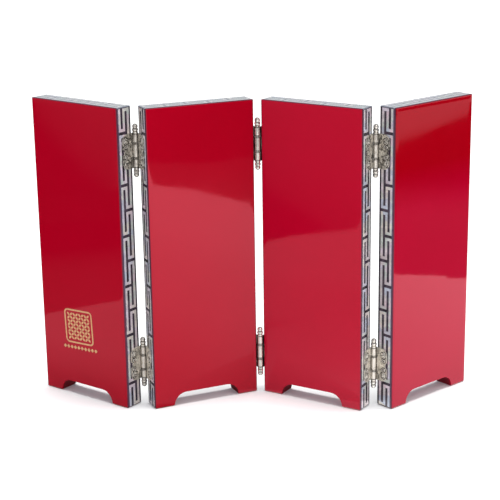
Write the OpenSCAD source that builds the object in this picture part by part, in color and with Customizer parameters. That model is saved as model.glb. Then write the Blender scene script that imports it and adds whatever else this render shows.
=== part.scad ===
// Four-panel folding screen for a table top: lacquered boards with shell inlay,
// joined by three pairs of ball-tipped butt hinges. Millimetres, +Z up, and the
// origin lies under the middle of the standing screen. The red backs face -Y and
// the inlaid fronts face +Y. The zigzag that the screen stands in is its rest pose.

/* [Panels] */
// Width of one panel
panel_w = 77; // [68:0.5:90]
// Height of one panel
panel_h = 210; // [190:1:235]
// Thickness of one panel without the raised front shell
panel_t = 14; // [12.5:0.5:17]
// Thickness of each lacquer coat on the board
coat_t = 0.8; // [0.75:0.05:1.2]
// Radius that rounds the outer edges of a panel
edge_r = 0.7; // [0.3:0.05:0.7]
// Height of bare board left under the lacquer coats at the soles of the feet
sole_h = 0.4; // [0.2:0.1:0.8]

/* [Foot arch] */
// Width of the arch between the two feet of a panel
arch_w = 48.4; // [36:0.2:54]
// Height of the arch above the floor
arch_h = 9.1; // [6:0.1:12]
// Radius of the two upper corners of the arch
arch_r = 9; // [3:0.1:9]

/* [Stance] */
// Direction of the first panel in plan, in degrees
first_angle = -35.2; // [-50:0.1:0]
// Fold between the first and second panels, 0 when flat
fold_1 = 61; // [0:0.5:110]
// Fold between the second and third panels, 0 when flat
fold_2 = 55.5; // [0:0.5:110]
// Fold between the third and fourth panels, 0 when flat
fold_3 = 73; // [0:0.5:110]

/* [Hinges] */
// Gap between a panel's end face and the hinge axis
axis_gap = 2; // [1.95:0.05:2.6]
// Distance of the hinge axis beyond the panel's face
axis_proud = 1.5; // [1.2:0.05:2.4]
// Height of the hinge leaves and of the barrel
leaf_h = 23.6; // [22:0.1:28]
// Width of a leaf across the end face
leaf_w = 9.4; // [8:0.1:10.5]
// Thickness of a leaf
leaf_t = 0.8; // [0.6:0.05:0.9]
// Outer radius of the barrel
barrel_r = 1.8; // [1.6:0.05:1.9]
// Height of the middle knuckle
middle_knuckle_h = 10; // [7:0.1:12]
// Radius of the hinge pin
pin_r = 0.8; // [0.6:0.05:1]
// Radial clearance of the pin in its bores
pin_clearance = 0.05; // [0.02:0.01:0.1]
// Gap between neighbouring knuckles
knuckle_gap = 0.3; // [0.2:0.05:0.5]
// Distance from the panel's top, or its foot, to the middle of a hinge
hinge_inset = 30.4; // [22:0.1:45]
// Height of a turned tip above the barrel
tip_h = 6.2; // [5.8:0.1:7.5]
// Radius of the ball on each tip
ball_r = 1.6; // [1.5:0.05:1.9]

/* [Screws] */
// Distance between the two screws of a leaf
screw_pitch = 14.6; // [12:0.1:15.5]
// Distance of the screws from the panel's face
screw_inset = 5.6; // [5:0.1:6]
// Radius of a screw head
screw_head_r = 1.7; // [1.4:0.05:1.8]
// Height of a screw head
screw_head_h = 0.7; // [0.4:0.05:0.8]
// Radius of a screw shank
screw_shank_r = 0.8; // [0.6:0.05:0.9]
// Length of a screw below its head
screw_l = 7; // [5:0.5:12]

/* [Edge fret] */
// Width of the shell line on the panel's edges
fret_line = 2.05; // [1.6:0.05:2.2]
// Width of the lacquer gap between shell lines
fret_gap = 2.05; // [1.6:0.05:2.2]
// Number of fret units up a panel's side
side_units = 12; // [6:1:16]
// Number of fret units along a panel's top
top_units = 5; // [3:1:7]
// Lacquer left bare at each end of a fret
fret_end = 1; // [0.8:0.1:2]
// Thickness of the shell
shell_t = 0.4; // [0.2:0.05:0.5]

/* [Front inlay] */
// Height of the front shell above its ground
shell_proud = 0.15; // [0.1:0.05:0.4]
// Distance from the panel's edge to the outer frame line
frame_inset = 3; // [2:0.25:4.5]
// Width of the two frame lines
frame_line = 0.8; // [0.6:0.1:1.2]
// Bare ground between the frame lines, the fret and the picture
frame_space = 1.4; // [1:0.1:2]
// Width of the shell line and of the gap in the front fret
front_fret_line = 0.9; // [0.6:0.05:1.1]
// Number of fret units up the front
front_side_units = 19; // [13:2:23]
// Number of fret units across the front
front_top_units = 5; // [3:2:7]

/* [Gilt mark] */
// Width of the gilt frame
mark_w = 26; // [20:0.2:30]
// Height of the gilt frame
mark_h = 24.8; // [20:0.2:30]
// Line width of the gilt frame
mark_line = 1.1; // [0.7:0.1:1.6]
// Distance of the mark's centre from the first panel's free edge
mark_x = 33.8; // [28:0.2:44]
// Height of the mark's centre
mark_z = 51.2; // [40:0.2:150]
// Thickness of the gilding
gilt_t = 0.1; // [0.05:0.05:0.2]

/* [Hidden] */
$fn = 64;
panel_count = 4;
fold_count = 3;

// Overlap that keeps cutting faces and joined faces from coinciding
eps = 0.02;
// Clearance of a screw shank in its holes
screw_clearance = 0.05;
// Gap kept between a leaf and the knuckles of the other leaf
leaf_clearance = 0.3;

// The rounding stays inside the thickness of a coat
coat_round_r = min(edge_r, coat_t - 0.05);
coat_h = panel_h - sole_h;

// Colours of the finishes
red_lacquer = [0.66, 0.05, 0.11];
black_lacquer = [0.05, 0.05, 0.09];
board_wood = [0.55, 0.4, 0.26];
pearl_shell = [0.75, 0.76, 0.82];
nickel = [0.66, 0.63, 0.58];
gilt = [0.83, 0.66, 0.38];

// Stance: the panels form a chain about the three hinge axes

// A fold's hinge lies on the front (1) or on the red back (-1)
function hinge_side(f) = f == 2 ? -1 : 1;
turns = [fold_1, -fold_2, fold_3];
function along(a) = [cos(a), sin(a)];
function across(a) = [-sin(a), cos(a)];
function panel_angle(k) = k == 1 ? first_angle : panel_angle(k - 1) + turns[k - 2];
// Thickness coordinate of a fold's axis in its panels
function axis_y(f) = hinge_side(f) > 0 ? panel_t + axis_proud : -axis_proud;
// Plan place of a fold's axis, and of a panel's corner at its left end on the red back
function axis_place(f) = corner_place(f) + (panel_w + axis_gap) * along(panel_angle(f))
    + axis_y(f) * across(panel_angle(f));
function corner_place(k) = k == 1 ? [0, 0]
    : axis_place(k - 1) + axis_gap * along(panel_angle(k)) - axis_y(k - 1) * across(panel_angle(k));
// Places whose circles bound the screen in plan, each with its radius
bounds = concat(
    [for (k = [1:panel_count]) for (x = [coat_round_r, panel_w - coat_round_r])
        for (y = [coat_round_r, panel_t - coat_round_r])
            concat(corner_place(k) + x * along(panel_angle(k)) + y * across(panel_angle(k)), coat_round_r)],
    [for (k = [1:panel_count]) for (x = [frame_inset, panel_w - frame_inset])
        concat(corner_place(k) + x * along(panel_angle(k))
            + (panel_t + shell_proud) * across(panel_angle(k)), 0)],
    [for (f = [1:fold_count]) concat(axis_place(f), barrel_r)]
);
plan_middle = [for (i = [0, 1])
    (min([for (b = bounds) b[i] - b[2]]) + max([for (b = bounds) b[i] + b[2]])) / 2];

// Puts a panel's own coordinates in the standing screen: x along it, y from its red back
module at_panel(k) {
    p = corner_place(k) - plan_middle;
    translate([p[0], p[1], 0]) rotate([0, 0, panel_angle(k)]) children();
}

// Turns an outline drawn in x and z into a solid from y1 to y2
module upright(y1, y2) {
    translate([0, y2, 0]) rotate([90, 0, 0]) linear_extrude(y2 - y1) children();
}

// Turns an outline drawn in y and z into a solid from x1 to x2
module endwise(x1, x2) {
    translate([x1, 0, 0]) rotate([90, 0, 90]) linear_extrude(x2 - x1) children();
}

module rounded_square(size, r) {
    if (r <= 0) square(size);
    else {
        translate([r, 0]) square([size[0] - 2 * r, size[1]]);
        translate([0, r]) square([size[0], size[1] - 2 * r]);
        for (x = [r, size[0] - r]) for (y = [r, size[1] - r]) translate([x, y]) circle(r);
    }
}

// The foot arch in x and z, grown all round by the given amount
module arch_outline(grow) {
    r = min(arch_r, arch_h) + grow;
    w = arch_w + 2 * grow;
    h = arch_h + grow;
    translate([(panel_w - w) / 2, 0]) {
        translate([0, -1]) square([w, h - r + 1]);
        translate([r, -1]) square([w - 2 * r, h + 1]);
        for (x = [r, w - r]) translate([x, h - r]) circle(r);
    }
}

// Hinges, placed in the frame of the panel that they are screwed to

module at_hinge_height(level) {
    translate([0, 0, level == "top" ? panel_h - hinge_inset : hinge_inset]) children();
}

// Puts the origin on the axis of a fold as seen from panel k, with that panel's body
// towards -x and its near face at y = -axis_proud
module at_axis(k, f) {
    on_right = f == k;
    translate([on_right ? panel_w + axis_gap : -axis_gap, axis_y(f), 0])
        mirror([on_right ? 0 : 1, 0, 0]) mirror([0, hinge_side(f) > 0 ? 0 : 1, 0]) children();
}

// The leaf with the two outer knuckles is on panels 1, 2 and 4
function outer_panel(f) = f == 3 ? 4 : f;
function inner_panel(f) = f == 3 ? 3 : f + 1;
panel_folds = [[1], [1, 2], [2, 3], [3]];

side_knuckle_h = (leaf_h - middle_knuckle_h) / 2 - knuckle_gap;
// Nearest that a leaf's flat part comes to the axis and still clears the other's knuckles
leaf_edge_y = -max(axis_proud,
    sqrt(max(0, pow(barrel_r + leaf_clearance, 2) - pow(axis_gap - leaf_t, 2))));
screw_y = -axis_proud - screw_inset;

module leaf_outline() {
    far_y = -axis_proud - leaf_w;
    lobe_r = leaf_h / 2 - screw_pitch / 2;
    neck_w = screw_inset + leaf_edge_y + axis_proud;
    waist_r = 2.4;
    waist_depth = 1.56;
    difference() {
        intersection() {
            translate([far_y, -leaf_h / 2]) square([leaf_edge_y - far_y, leaf_h]);
            union() {
                translate([leaf_edge_y - neck_w, -leaf_h / 2]) square([neck_w, leaf_h]);
                translate([far_y, -screw_pitch / 2]) square([leaf_w, screw_pitch]);
                for (side = [-1, 1]) translate([far_y + lobe_r, side * screw_pitch / 2]) circle(lobe_r);
            }
        }
        translate([far_y + waist_depth - waist_r, 0]) circle(waist_r);
    }
}

module at_screws() {
    for (side = [-1, 1]) translate([-axis_gap, screw_y, side * screw_pitch / 2])
        rotate([0, 90, 0]) children();
}

// A raised scroll arc round each screw of a leaf
module leaf_scrolls() {
    scroll_r = screw_head_r + 1.5;
    scroll_w = 0.5;
    scroll_h = 0.25;
    for (side = [-1, 1])
        endwise(-axis_gap + leaf_t - eps, -axis_gap + leaf_t + scroll_h)
            intersection() {
                translate([screw_y, side * screw_pitch / 2]) difference() {
                    circle(scroll_r);
                    circle(scroll_r - scroll_w);
                }
                translate([screw_y - scroll_r, side > 0 ? 0 : -screw_pitch / 2])
                    square([2 * scroll_r, screw_pitch / 2]);
            }
}

module knuckle(z, h) {
    translate([0, 0, z]) {
        cylinder(r = barrel_r, h = h);
        translate([-axis_gap, leaf_edge_y - 1, 0]) cube([leaf_t, 1 - leaf_edge_y, h]);
    }
}

module hinge_leaf(outer) {
    difference() {
        union() {
            endwise(-axis_gap, -axis_gap + leaf_t) leaf_outline();
            leaf_scrolls();
            if (outer) {
                knuckle(-leaf_h / 2, side_knuckle_h);
                knuckle(leaf_h / 2 - side_knuckle_h, side_knuckle_h);
            } else
                knuckle(-middle_knuckle_h / 2, middle_knuckle_h);
        }
        translate([0, 0, -leaf_h]) cylinder(r = pin_r + pin_clearance, h = 2 * leaf_h);
        at_screws() translate([0, 0, -1]) cylinder(r = screw_shank_r + screw_clearance, h = leaf_t + 2);
    }
}

// Length of pin that each tip is seated on
tip_seat = 3;

module hinge_pin() {
    cylinder(r = pin_r, h = leaf_h + 2 * tip_seat, center = true);
}

// A turned tip: a collar, a bead and a ball, bored for the pin
module tip() {
    collar_r = 1.65;
    collar_h = 1.1;
    bead_r = 1.5;
    bead_z = collar_h + 0.9;
    neck_r = pin_r + 0.35;
    difference() {
        union() {
            cylinder(r = collar_r, h = collar_h);
            translate([0, 0, bead_z]) sphere(bead_r);
            cylinder(r = neck_r, h = tip_h - ball_r);
            translate([0, 0, tip_h - ball_r]) sphere(ball_r);
        }
        translate([0, 0, -1]) cylinder(r = pin_r + pin_clearance, h = tip_seat + 1 + pin_clearance);
    }
}

module screw() {
    slot_w = 0.45;
    slot_d = 0.35;
    // Radius of the dome that gives the head its width and height
    dome_r = (pow(screw_head_r, 2) + pow(screw_head_h, 2)) / (2 * screw_head_h);
    difference() {
        intersection() {
            translate([0, 0, leaf_t + screw_head_h - dome_r]) sphere(dome_r);
            translate([0, 0, leaf_t]) cylinder(r = screw_head_r + 1, h = screw_head_h + 1);
        }
        translate([-screw_head_r - 1, -slot_w / 2, leaf_t + screw_head_h - slot_d])
            cube([2 * screw_head_r + 2, slot_w, 1]);
    }
    translate([0, 0, leaf_t - screw_l]) cylinder(r = screw_shank_r, h = screw_l + eps);
}

// The holes that the screws of panel k need in its board and edges
module screw_holes(k) {
    for (f = panel_folds[k - 1]) for (level = ["top", "bottom"])
        at_hinge_height(level) at_axis(k, f) at_screws()
            translate([0, 0, leaf_t - screw_l - 0.5])
                cylinder(r = screw_shank_r + screw_clearance, h = screw_l + 1);
}

// Frets: one unbroken line of shell that turns back and forth across its strip

// Middle of the fret line: column 0 lies at the strip's near side, 2 at its far side
function fret_path(length, units, line, gap, end) =
    let (pitch = length / units, step = line + gap, turn = (gap + line) / 2,
        col = [line / 2, line / 2 + step, line / 2 + 2 * step])
    concat(
        [[col[0], end]],
        [for (j = [0:units - 1]) each [
            [col[j % 2 == 0 ? 0 : 2], pitch * (j + 1) - turn],
            [col[1], pitch * (j + 1) - turn],
            [col[1], pitch * j + turn],
            [col[j % 2 == 0 ? 2 : 0], pitch * j + turn]
        ]],
        [[col[units % 2 == 0 ? 0 : 2], length - end]]
    );

function direction(a, b) = (b - a) / norm(b - a);
function left_of(d) = [-d[1], d[0]];
// One side of a line drawn along a path, at the given distance to its left
function path_side(path, half) = [for (i = [0:len(path) - 1])
    let (n1 = left_of(direction(path[max(i - 1, 0)], path[max(i, 1)])),
        n2 = left_of(direction(path[min(i, len(path) - 2)], path[min(i + 1, len(path) - 1)])))
    path[i] + half * (n1 + n2) / (1 + n1 * n2)];
function reversed(list) = [for (i = [len(list) - 1:-1:0]) list[i]];

module fret(length, units, line, gap, end) {
    path = fret_path(length, units, line, gap, end);
    polygon(concat(path_side(path, line / 2), reversed(path_side(path, -line / 2))));
}

fret_w = 3 * fret_line + 2 * fret_gap;
fret_y = (panel_t - fret_w) / 2;

// The shell on both sides and the top of a panel, or the pockets that it is let into
module edge_fret_shell(extra) {
    for (x = [-extra, panel_w - shell_t])
        endwise(x, x + shell_t + extra) translate([fret_y, panel_h]) mirror([0, 1])
            fret(panel_h, side_units, fret_line, fret_gap, fret_end);
    translate([0, 0, panel_h - shell_t]) linear_extrude(shell_t + extra)
        translate([0, fret_y]) mirror([1, -1])
            fret(panel_w, top_units, fret_line, fret_gap, fret_end);
}

// The panel's side view above its soles, with rounded edges
module side_form() {
    translate([0, 0, sole_h]) endwise(0, panel_w) rounded_square([panel_t, coat_h], coat_round_r);
}

// The panel's outer form, with its edges rounded as seen from above, in front and the side
module panel_form() {
    intersection() {
        linear_extrude(panel_h) rounded_square([panel_w, panel_t], coat_round_r);
        translate([0, 0, sole_h]) upright(0, panel_t) rounded_square([panel_w, coat_h], coat_round_r);
        side_form();
    }
}

// The part of a panel inside its edge coat, from z to the coat on top
module inner_block(y1, y2, z) {
    translate([coat_t, y1, z]) cube([panel_w - 2 * coat_t, y2 - y1, panel_h - coat_t - z]);
}

// Everything from y1 to y2 across a panel
module slab(y1, y2) {
    translate([-1, y1, -1]) cube([panel_w + 2, y2 - y1, panel_h + 2]);
}

// Sub-parts of a panel

module panel_board(k) {
    color(board_wood) at_panel(k) difference() {
        inner_block(coat_t, panel_t - coat_t, 0);
        upright(0, panel_t) arch_outline(coat_t);
        screw_holes(k);
    }
}

module panel_back_lacquer(k) {
    color(red_lacquer) at_panel(k) difference() {
        union() {
            // The red coat reaches the panel's very edges
            intersection() {
                panel_form();
                slab(-1, coat_t);
            }
            // Lining of the arch
            intersection() {
                upright(coat_t - eps, panel_t - coat_t) arch_outline(coat_t);
                translate([0, 0, sole_h]) cube([panel_w, panel_t, panel_h]);
            }
        }
        upright(-1, panel_t + 1) arch_outline(0);
    }
}

module panel_front_lacquer(k) {
    color(black_lacquer) at_panel(k) difference() {
        intersection() {
            inner_block(panel_t - coat_t, panel_t, sole_h);
            side_form();
        }
        upright(-1, panel_t + 1) arch_outline(0);
    }
}

module panel_edge_lacquer(k) {
    color(black_lacquer) at_panel(k) difference() {
        panel_form();
        slab(-1, coat_t);
        translate([coat_t, -1, -1])
            cube([panel_w - 2 * coat_t, panel_t + 2, panel_h - coat_t + 1]);
        edge_fret_shell(1);
        screw_holes(k);
    }
}

module panel_edge_fret(k) {
    color(pearl_shell) at_panel(k) difference() {
        edge_fret_shell(0);
        screw_holes(k);
    }
}

module panel_screws(k) {
    color(nickel) at_panel(k) for (f = panel_folds[k - 1]) for (level = ["top", "bottom"])
        at_hinge_height(level) at_axis(k, f) at_screws() screw();
}

module hinge_outer_leaf(f, level) {
    color(nickel) at_panel(outer_panel(f)) at_hinge_height(level) at_axis(outer_panel(f), f)
        hinge_leaf(true);
}

module hinge_inner_leaf(f, level) {
    color(nickel) at_panel(inner_panel(f)) at_hinge_height(level) at_axis(inner_panel(f), f)
        hinge_leaf(false);
}

module hinge_pin_at(f, level) {
    color(nickel) at_panel(outer_panel(f)) at_hinge_height(level) at_axis(outer_panel(f), f)
        hinge_pin();
}

module hinge_tips(f) {
    color(nickel) at_panel(outer_panel(f)) for (level = ["top", "bottom"])
        at_hinge_height(level) at_axis(outer_panel(f), f)
            for (up = [0, 1]) mirror([0, 0, up]) translate([0, 0, leaf_h / 2]) tip();
}

// Front inlay

// The frame round the picture stands above the arch
frame_foot = arch_h + frame_inset;
front_fret_w = 5 * front_fret_line;
frame_rings = [0, frame_line + 2 * frame_space + front_fret_w];
field_inset = frame_inset + frame_rings[1] + frame_line + frame_space;

// A square-cornered ring, a given distance inside the outer frame line
module frame_ring(inset) {
    x = frame_inset + inset;
    z = frame_foot + inset;
    w = panel_w - 2 * x;
    h = panel_h - frame_inset - inset - z;
    difference() {
        translate([x, z]) square([w, h]);
        translate([x + frame_line, z + frame_line]) square([w - 2 * frame_line, h - 2 * frame_line]);
    }
}

module border_outline() {
    strip = frame_inset + frame_line + frame_space;
    foot = frame_foot + frame_line + frame_space;
    run_w = panel_w - 2 * (strip + front_fret_w + front_fret_line);
    run_h = panel_h - strip - foot - 2 * (front_fret_w + front_fret_line);
    for (inset = frame_rings) frame_ring(inset);
    // Frets up both sides
    for (side = [0, 1]) translate([side * panel_w, 0]) mirror([side, 0])
        translate([strip, foot + front_fret_w + front_fret_line])
            fret(run_h, front_side_units, front_fret_line, front_fret_line, 0);
    // Frets along the top and the foot
    for (z = [foot, panel_h - strip - front_fret_w])
        translate([strip + front_fret_w + front_fret_line, z + front_fret_w]) rotate(-90)
            fret(run_w, front_top_units, front_fret_line, front_fret_line, 0);
    // A square in a square at each corner
    for (x = [strip, panel_w - strip - front_fret_w])
        for (z = [foot, panel_h - strip - front_fret_w]) translate([x, z]) {
            difference() {
                square(front_fret_w);
                translate([1, 1] * front_fret_line) square(3 * front_fret_line);
            }
            translate([1.8, 1.8] * front_fret_line) square(1.4 * front_fret_line);
        }
}

module panel_front_border(k) {
    color(pearl_shell) at_panel(k) upright(panel_t, panel_t + shell_proud) border_outline();
}

// Pictures are drawn in hundredths: places across and up the field inside the frame, and
// sizes as shares of its width
field_w = panel_w - 2 * field_inset;
field_h = panel_h - frame_foot - field_inset + frame_inset - field_inset;
art_unit = field_w / 100;
// Bare ground left round a flower or leaf that lies over a stem
art_gap = 1.2;
function spot(x, y) = [x * field_w, y * field_h] / 100;

module at_spot(x, y, angle = 0) {
    translate(spot(x, y)) rotate(angle) scale(art_unit) children();
}

// A leaf or petal with two pointed ends, from the origin along x, grown by the given amount
module petal(length, width, grow = 0) {
    bow = width / 2;
    r = (pow(length / 2, 2) + pow(bow, 2)) / (2 * bow) + grow;
    intersection() {
        translate([length / 2, r - grow - bow]) circle(r, $fn = 96);
        translate([length / 2, bow + grow - r]) circle(r, $fn = 96);
    }
}

// A long blade of grass from the origin along x, whose tip bends up by the given rise
module blade(length, rise, width) {
    steps = 10;
    tip_w = 0.3;
    ribbon([for (i = [0:steps]) let (u = i / steps) [length * u, rise * u * u,
        max(tip_w, width * pow(sin(180 * pow(u, 0.7)), 0.7))]]);
}

// A ribbon through points that each give its width there
module ribbon(points) {
    path = [for (p = points) [p[0], p[1]]];
    left = path_side(path, 1);
    right = path_side(path, -1);
    half = [for (p = points) p[2] / 2];
    polygon(concat(
        [for (i = [0:len(path) - 1]) path[i] + half[i] * (left[i] - path[i])],
        reversed([for (i = [0:len(path) - 1]) path[i] + half[i] * (right[i] - path[i])])));
}

// A branch or stalk through places on the field, each with the width there
module stem(points) {
    ribbon([for (p = points) concat(spot(p[0], p[1]), p[2] * art_unit)]);
}

// The first child is cut back round the second, which lies over it
module laid_over() {
    difference() {
        children(0);
        children(1);
    }
    children(2);
}

// Shares of a blossom's size: the distance of its petals from the middle, and their radius
blossom_ring = 0.52;
blossom_lobe = 0.4;

module blossom(size) {
    difference() {
        for (a = [0:72:359]) rotate(a + 18) translate([size * blossom_ring, 0])
            circle(size * blossom_lobe, $fn = 32);
        circle(size * 0.26, $fn = 32);
    }
    circle(size * 0.14, $fn = 32);
}

// Each blossom's place and size, and each bud's place
plum_blossoms = [[65, 27, 9.8], [78, 43, 11], [12, 45.5, 9], [18, 61, 10.6], [53, 48, 9.8], [80, 60, 9],
    [80, 72, 10.6], [43, 69, 9], [25, 75.5, 8.6], [24, 88, 10.2], [63, 82.5, 11], [27, 20.5, 8.6]];
plum_buds = [[53, 21.5], [88, 47.5], [7, 51], [33, 37.5], [89, 76], [53, 87], [74, 87], [33, 91.5],
    [65, 53.5]];

module plum_branches() {
    stem([[24, 0, 12], [37, 16, 10.6], [27, 32, 9], [49, 48, 7.4], [43, 64, 5.4], [61, 80, 3]]);
    stem([[39, 17, 5], [65, 27, 4], [78, 41, 2.4]]);
    stem([[29, 33, 4.6], [14, 44, 3.4], [18, 58, 2]]);
    stem([[51, 49, 4.2], [75, 58, 3], [80, 69, 2]]);
    stem([[45, 65, 3.6], [25, 74, 2.8], [24, 85, 1.8]]);
    // Twigs of the buds
    stem([[79, 43, 1.6], [88, 47.5, 1.2]]);
    stem([[13, 45, 1.6], [7, 51, 1.2]]);
    stem([[80, 72, 1.6], [89, 76, 1.2]]);
    stem([[60, 80, 1.6], [53, 87, 1.2]]);
    stem([[63, 82, 1.6], [74, 87, 1.2]]);
    stem([[24, 87, 1.6], [33, 91.5, 1.2]]);
}

module plum_picture() {
    bud_r = 2.8;
    laid_over() {
        plum_branches();
        union() {
            for (b = plum_blossoms)
                at_spot(b[0], b[1]) circle(b[2] * (blossom_ring + blossom_lobe) + art_gap);
            for (b = plum_buds) at_spot(b[0], b[1]) circle(bud_r + art_gap);
        }
        union() {
            for (b = plum_blossoms) at_spot(b[0], b[1], b[1] * 12) blossom(b[2]);
            for (b = plum_buds) at_spot(b[0], b[1]) circle(bud_r, $fn = 32);
        }
    }
}

root_y = 3;
// Blades of the orchid spring from one root, each with its place, angle, length, rise and width
orchid_blades = [[40, 97, 290, -10, 5], [43, 92, 200, -45, 5], [44, 84, 250, -18, 5.4],
    [47, 72, 135, -4, 5.4], [49, 55, 70, -6, 5], [51, 32, 46, -6, 4.4], [39, 104, 120, 3, 5],
    [37, 112, 75, 2, 5.4], [35, 130, 42, 3, 5], [31, 148, 26, 3, 4.4]];
// Each flower's place, angle and size
orchid_flowers = [[68, 53, 40, 21], [30, 66, 110, 20], [52, 82, 70, 24]];

module orchid_leaves() {
    for (b = orchid_blades) at_spot(b[0], root_y, b[1]) blade(b[2], b[3], b[4]);
    // Flower stalks
    stem([[41, root_y, 2.4], [50, 30, 2.2], [68, 53, 1.8]]);
    stem([[39, root_y, 2.4], [33, 40, 2.2], [30, 66, 1.8]]);
    stem([[42, root_y, 2.4], [44, 40, 2.2], [52, 82, 1.8]]);
}

// Five narrow petals round an eye
module orchid_flower(size, grow) {
    for (a = [-110, -55, 0, 55, 110]) rotate(a) translate([2.8, 0]) petal(size, size * 0.3, grow);
    circle(2.2 + grow, $fn = 32);
}

// A low rock at the root
module rock() {
    rock_h = 16;
    at_spot(0, 0) intersection() {
        union() {
            translate([27, 0]) circle(14);
            translate([49, -2]) circle(12);
            translate([67, -4]) circle(10);
        }
        square([100, rock_h]);
    }
}

module orchid_picture() {
    laid_over() {
        orchid_leaves();
        for (b = orchid_flowers) at_spot(b[0], b[1], b[2]) orchid_flower(b[3], art_gap);
        for (b = orchid_flowers) at_spot(b[0], b[1], b[2]) orchid_flower(b[3], 0);
    }
    rock();
}

module chrysanthemum(size) {
    for (a = [0:24:359]) rotate(a) translate([size * 0.3, 0]) petal(size * 0.7, size * 0.19);
    for (a = [12:40:360]) rotate(a) translate([size * 0.08, 0]) petal(size * 0.19, size * 0.1);
}

module chrysanthemum_picture() {
    stem([[43, 0, 6], [51, 23, 5], [39, 45.5, 4.4], [33, 62.5, 3.2]]);
    stem([[51, 24, 4], [73, 37.5, 3.6], [75, 52, 2.8]]);
    stem([[37, 50, 3.6], [59, 66, 3], [65, 75, 2.4]]);
    for (b = [[31, 70, 24.5], [75, 59, 22.5], [65, 83, 25.5]]) at_spot(b[0], b[1]) chrysanthemum(b[2]);
    // Leaves in threes, with their place, angle and length
    for (b = [[49, 12.5, 150, 29], [51, 20.5, 25, 31], [45, 34, 160, 29], [71, 36.5, 10, 20],
            [35, 52, 170, 25], [45, 4.5, 20, 29]])
        at_spot(b[0], b[1], b[2]) for (a = [-32, 0, 32])
            rotate(a) translate([5, 0]) petal(b[3] * (a == 0 ? 1 : 0.75), 7);
    // A butterfly over the flowers
    at_spot(24, 91) for (side = [0, 1]) mirror([side, 0])
        for (a = [-25, 35]) rotate(a) translate([1, 0]) petal(a > 0 ? 18 : 13, 6.6);
}

// A bamboo stalk of so many joints, each with a ring near its upper end
module bamboo_stalk(x, width, joints) {
    joint_l = 13.5;
    ring_z = 12.3;
    ring_h = 0.8;
    gap = 0.45;
    for (i = [0:joints - 1]) {
        translate(spot(x - width / 2, i * joint_l)) square(spot(width, joint_l - gap));
        translate(spot(x - width / 2 - 1, i * joint_l + ring_z)) square(spot(width + 2, ring_h));
    }
}

// Each leaf's place, angle and length
bamboo_leaves = [[65, 20, -20, 25], [65, 20, -55, 23], [24, 26, 200, 15], [24, 26, 235, 21], [64, 34, 14, 25],
    [64, 34, -24, 27], [24, 53.5, 205, 16], [24, 53.5, 240, 23], [38, 40, -60, 19], [38, 40, -28, 15],
    [64, 62, 25, 25], [64, 62, -14, 27], [64, 62, -52, 25], [24, 80.5, 200, 16], [24, 80.5, 240, 23],
    [37, 67, -50, 17], [37, 67, -15, 14], [61, 82.5, 100, 27], [61, 82.5, 62, 29], [62, 82, 24, 29],
    [62, 82, -14, 27], [33, 94, 12, 25], [31, 95, 150, 21], [84, 54.5, 38, 12]];

module bamboo_leaf(leaf, grow) {
    leaf_gap = 3;
    at_spot(leaf[0], leaf[1], leaf[2]) translate([leaf_gap, 0]) petal(leaf[3], 5.6, grow);
}

module bamboo_picture() {
    laid_over() {
        union() {
            bamboo_stalk(31, 8.6, 7);
            bamboo_stalk(58, 6.6, 6);
            bamboo_stalk(82, 5, 4);
        }
        for (leaf = bamboo_leaves) bamboo_leaf(leaf, art_gap);
        for (leaf = bamboo_leaves) bamboo_leaf(leaf, 0);
    }
}

module picture(k) {
    translate([field_inset, frame_foot + field_inset - frame_inset]) {
        if (k == 1) plum_picture();
        if (k == 2) orchid_picture();
        if (k == 3) chrysanthemum_picture();
        if (k == 4) bamboo_picture();
    }
}

module panel_front_picture(k) {
    color(pearl_shell) at_panel(k) upright(panel_t, panel_t + shell_proud) picture(k);
}

// Gilt mark on the back of the first panel: a rounded frame round a field of blossoms,
// with a row of small lozenges under it

module lozenge_row(length) {
    size = 2;
    spacing = 3.2;
    count = floor(length / spacing);
    pitch = length / count;
    for (i = [0:count - 1]) translate([(i + 0.5) * pitch - length / 2, 0])
        rotate(45) square(size, center = true);
}

// A blossom of four slanting petals in each of the cells, which meet tip to tip
module blossom_field(width, height, cells) {
    cell = [width, height] / cells;
    half = norm(cell) / 2;
    slant = atan2(cell[1], cell[0]);
    // Gap left at each end of a petal
    gap = 0.3;
    for (i = [0:cells - 1]) for (j = [0:cells - 1])
        translate([(i + 0.5) * cell[0], (j + 0.5) * cell[1]])
            for (angle = [slant, 180 - slant, 180 + slant, -slant])
                rotate(angle) translate([gap, 0]) petal(half - 2 * gap, half * 0.42);
}

module gilt_mark() {
    frame_r = 3.2;
    inner = mark_line + 1.4;
    cells = 4;
    tilt = 2.5;
    row_drop = 3.2;
    color(gilt) at_panel(1) translate([mark_x, 0, mark_z]) rotate([0, -tilt, 0])
        upright(-gilt_t, 0) {
            translate([-mark_w / 2, -mark_h / 2]) {
                difference() {
                    rounded_square([mark_w, mark_h], frame_r);
                    translate([mark_line, mark_line]) rounded_square(
                        [mark_w - 2 * mark_line, mark_h - 2 * mark_line], frame_r - mark_line);
                }
                translate([inner, inner])
                    blossom_field(mark_w - 2 * inner, mark_h - 2 * inner, cells);
            }
            translate([0, -mark_h / 2 - row_drop]) lozenge_row(mark_w + 6.4);
        }
}

for (k = [1:panel_count]) {
    panel_board(k);
    panel_back_lacquer(k);
    panel_front_lacquer(k);
    panel_edge_lacquer(k);
    panel_edge_fret(k);
    panel_front_border(k);
    panel_front_picture(k);
    panel_screws(k);
}
for (f = [1:fold_count]) {
    for (level = ["top", "bottom"]) {
        hinge_outer_leaf(f, level);
        hinge_inner_leaf(f, level);
        hinge_pin_at(f, level);
    }
    hinge_tips(f);
}
gilt_mark();
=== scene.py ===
import math

import bpy
from mathutils import Matrix, Vector


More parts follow.
